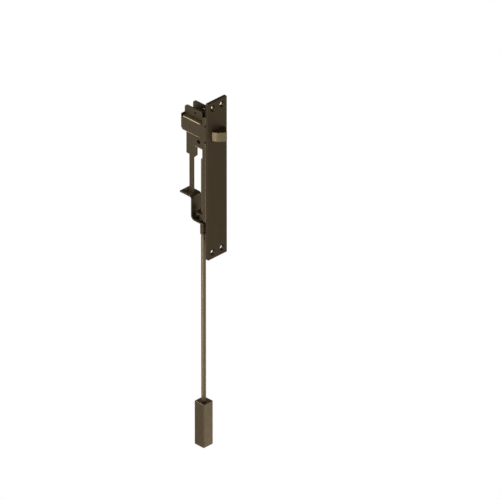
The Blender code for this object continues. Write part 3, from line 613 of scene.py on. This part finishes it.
def spring_line(low, high, wire):
    """Spring's middle line: a leg on the ear pin, the coil round the pivot, a leg to the hook."""
    _, pivot_y, pivot_z = joint_named("rocker_turn")["pos_m"]
    swing = math.atan2(middle("rocker_pin").z - pivot_z, middle("rocker_pin").y - pivot_y)
    near_ear = low.x + wire
    near_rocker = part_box("rocker_left")[0].x - SPRING_SIDE_GAP - wire

    def at(x, distance, angle):
        return Vector((x, pivot_y + distance * math.cos(angle),
                       pivot_z + distance * math.sin(angle)))

    turn = math.tau * (SPRING_EXTRA_TURNS + 1) + swing - math.acos(SPRING_COIL / SPRING_HOOK)
    line = [Vector((near_ear, pivot_y + SPRING_COIL, low.z))]
    steps = round(SPRING_TURN_STEPS * turn / math.tau)
    for step in range(steps + 1):
        share = step / steps
        line.append(at(near_ear + (near_rocker - near_ear) * share, SPRING_COIL, turn * share))
    hook = at(near_rocker, SPRING_HOOK, swing)
    back = (line[-1] - hook).normalized()
    inward = Vector((1.0, 0.0, 0.0))
    centre = hook + (back + inward) * SPRING_HOOK_BEND
    for step in range(SPRING_HOOK_STEPS + 1):
        angle = math.pi / 2 * step / SPRING_HOOK_STEPS
        line.append(centre
                    - (inward * math.cos(angle) + back * math.sin(angle)) * SPRING_HOOK_BEND)
    line.append(Vector((high.x, hook.y, hook.z)))
    return line


def sweep_wire(line, radius):
    """A round wire along a line of points, closed at both ends."""
    bm = bmesh.new()
    loops = []
    aside = Vector((1.0, 0.0, 0.0))
    for index, point in enumerate(line):
        ahead = (line[min(index + 1, len(line) - 1)] - line[max(index - 1, 0)]).normalized()
        aside = (aside - ahead * aside.dot(ahead)).normalized()
        across = ahead.cross(aside)
        angles = [math.tau * side / WIRE_SIDES for side in range(WIRE_SIDES)]
        loops.append([bm.verts.new(point + (aside * math.cos(angle)
                                            + across * math.sin(angle)) * radius)
                      for angle in angles])
    for near, far in zip(loops, loops[1:]):
        for side in range(WIRE_SIDES):
            after = (side + 1) % WIRE_SIDES
            bm.faces.new((near[side], near[after], far[after], far[side]))
    bm.faces.new(loops[0][::-1])
    bm.faces.new(loops[-1])
    return bm


def make_spring(material):
    """Drawn wire swept along the spring's line, put on no body."""
    wire = SPRING_WIRE / 2
    line = spring_line(*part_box("return_spring"), wire)
    bm = sweep_wire(line, wire)
    spring = put("return_spring_wire", bm, material, None, "steel", "return_spring")
    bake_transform(spring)


def dress_case(plate, sheet, black, steel):
    make_plate(plate)
    make_frame_channel(sheet)
    make_carriage(sheet)
    for side in ("left", "right"):
        for level in ("low", "high"):
            make_pin(f"ear_spacer_{side}_{level}", "case", steel)
    # The ear pin in black: painted shade in the ears' holes.
    make_ear_pin(black)
    make_pin("pivot_pin", "case", steel)
    make_pivot_spacer(steel)
    make_spring(steel)


def dress_rocker(sheet, steel):
    worked("rocker_left", sheet, "rocker", "sheet_bronze", SMALL_EDGE)
    worked("rocker_right", sheet, "rocker", "sheet_bronze", SMALL_EDGE)
    make_pin("rocker_pin", "rocker", steel)


def dress_trigger(nose, sheet, steel):
    tip = worked("trigger_nose", nose, "trigger", "nose_bronze", NOSE_EDGE, segments=3)
    tip.modifiers["shading"].weight = NOSE_SHADING_WEIGHT
    worked("trigger_slide", sheet, "trigger", "sheet_bronze", SHEET_EDGE)
    worked("trigger_tongue", sheet, "trigger", "sheet_bronze", SMALL_EDGE)
    make_rivet("trigger_rivet_low", steel)
    make_rivet("trigger_rivet_high", steel)
    make_pin("cam_pin", "trigger", steel)


def dress_bolt(sheet, rod, bolt, collar, nut):
    make_rail(sheet)
    worked("guide_bracket", sheet, "bolt", "sheet_bronze", SHEET_EDGE)
    make_stud(sheet)
    make_rod(rod)
    worked("rod_nut_lower", nut, "bolt", "steel", NUT_EDGE)
    worked("rod_nut_upper", nut, "bolt", "steel", NUT_EDGE)
    make_collar(collar)
    worked("bolt_head", bolt, "bolt", "rod_bronze", BOLT_EDGE)


def studio_sky():
    """World: pure white to the camera; it lights with white low down and dark grey overhead."""
    world = bpy.data.worlds.new("studio")
    bpy.context.scene.world = world
    world.use_nodes = True
    tree = world.node_tree
    way = add_node(tree, "ShaderNodeTexCoord")
    split = add_node(tree, "ShaderNodeSeparateXYZ")
    ramp = add_node(tree, "ShaderNodeValToRGB")
    set_ramp(ramp, SKY_LOW, (SKY_WHITE, SKY_WHITE, SKY_WHITE, 1.0),
             SKY_HIGH, (SKY_GREY, SKY_GREY, SKY_GREY, 1.0))
    seen = add_node(tree, "ShaderNodeLightPath")
    choose = add_node(tree, "ShaderNodeMix", data_type="RGBA")
    choose.inputs["B"].default_value = (1.0, 1.0, 1.0, 1.0)
    background = tree.nodes["Background"]
    tree.links.new(way.outputs["Generated"], split.inputs["Vector"])
    tree.links.new(split.outputs["Z"], ramp.inputs["Fac"])
    tree.links.new(ramp.outputs["Color"], choose.inputs["A"])
    tree.links.new(seen.outputs["Is Camera Ray"], choose.inputs["Factor"])
    tree.links.new(choose.outputs["Result"], background.inputs["Color"])
    background.inputs["Strength"].default_value = 1.0


def lamp(name, place, aim, size, power):
    data = bpy.data.lights.new(name, "AREA")
    data.shape = "DISK"
    data.size = size
    data.energy = power
    obj = bpy.data.objects.new(name, data)
    bpy.context.scene.collection.objects.link(obj)
    obj.location = place
    obj.rotation_euler = (Vector(aim) - Vector(place)).to_track_quat("-Z", "Y").to_euler()


def set_camera():
    data = bpy.data.cameras.new("camera")
    data.sensor_width = SENSOR
    data.lens = SENSOR * CAMERA_DISTANCE / FRAME_SPAN
    data.clip_end = CAMERA_CLIP_END
    camera = bpy.data.objects.new("camera", data)
    bpy.context.scene.collection.objects.link(camera)
    azimuth = math.radians(CAMERA_AZIMUTH)
    elevation = math.radians(CAMERA_ELEVATION)
    away = Vector((math.sin(azimuth) * math.cos(elevation),
                   -math.cos(azimuth) * math.cos(elevation),
                   math.sin(elevation)))
    camera.location = CAMERA_AIM + away * CAMERA_DISTANCE
    camera.rotation_euler = (-away).to_track_quat("-Z", "Y").to_euler()
    bpy.context.scene.camera = camera


def main():
    bpy.context.scene.view_settings.view_transform = "Standard"
    plate = bronze("plate_bronze_satin", PLATE_TONE, roughness=0.46)
    sheet = bronze("sheet_bronze_satin", SHEET_TONE, roughness=0.42, grain=GRAIN_SHEET)
    rod = bronze("rod_bronze_drawn", ROD_TONE, roughness=0.38, mottle=0.03,
                 grain=GRAIN_ROD, depth=ROD_GRAIN_DEPTH, edge_wear_and_highlight=0.0)
    bolt = bronze("bolt_bronze_satin", BOLT_TONE, roughness=0.42, mottle=0.08)
    nose = bronze("nose_bronze_polished", NOSE_TONE, roughness=0.42, mottle=0.04)
    collar = bronze("collar_bronze", COLLAR_TONE, roughness=0.5)
    # The nuts' dark tone is painted shade.
    nut = bronze("nut_bronze_painted_shade", NUT_PAINTED_SHADE_TONE, roughness=0.5, mottle=0.03)
    # The ear pin's black, nearly unreflecting finish is painted shade in the ears' holes.
    black = bronze("black_painted_shade_steel", HOLE_SHADE_BLACK, roughness=0.8, metallic=0.0)
    shader = black.node_tree.nodes["Principled BSDF"]
    shader.inputs["Specular IOR Level"].default_value = HOLE_SHADE_SPECULAR
    steel = bronze("oiled_steel", STEEL_TONE, roughness=0.34, metallic=1.0, mottle=0.1)
    dress_case(plate, sheet, black, steel)
    dress_rocker(sheet, steel)
    dress_trigger(nose, sheet, steel)
    dress_bolt(sheet, rod, bolt, collar, nut)
    studio_sky()
    for settings in LAMPS:
        lamp(*settings)
    set_camera()


main()
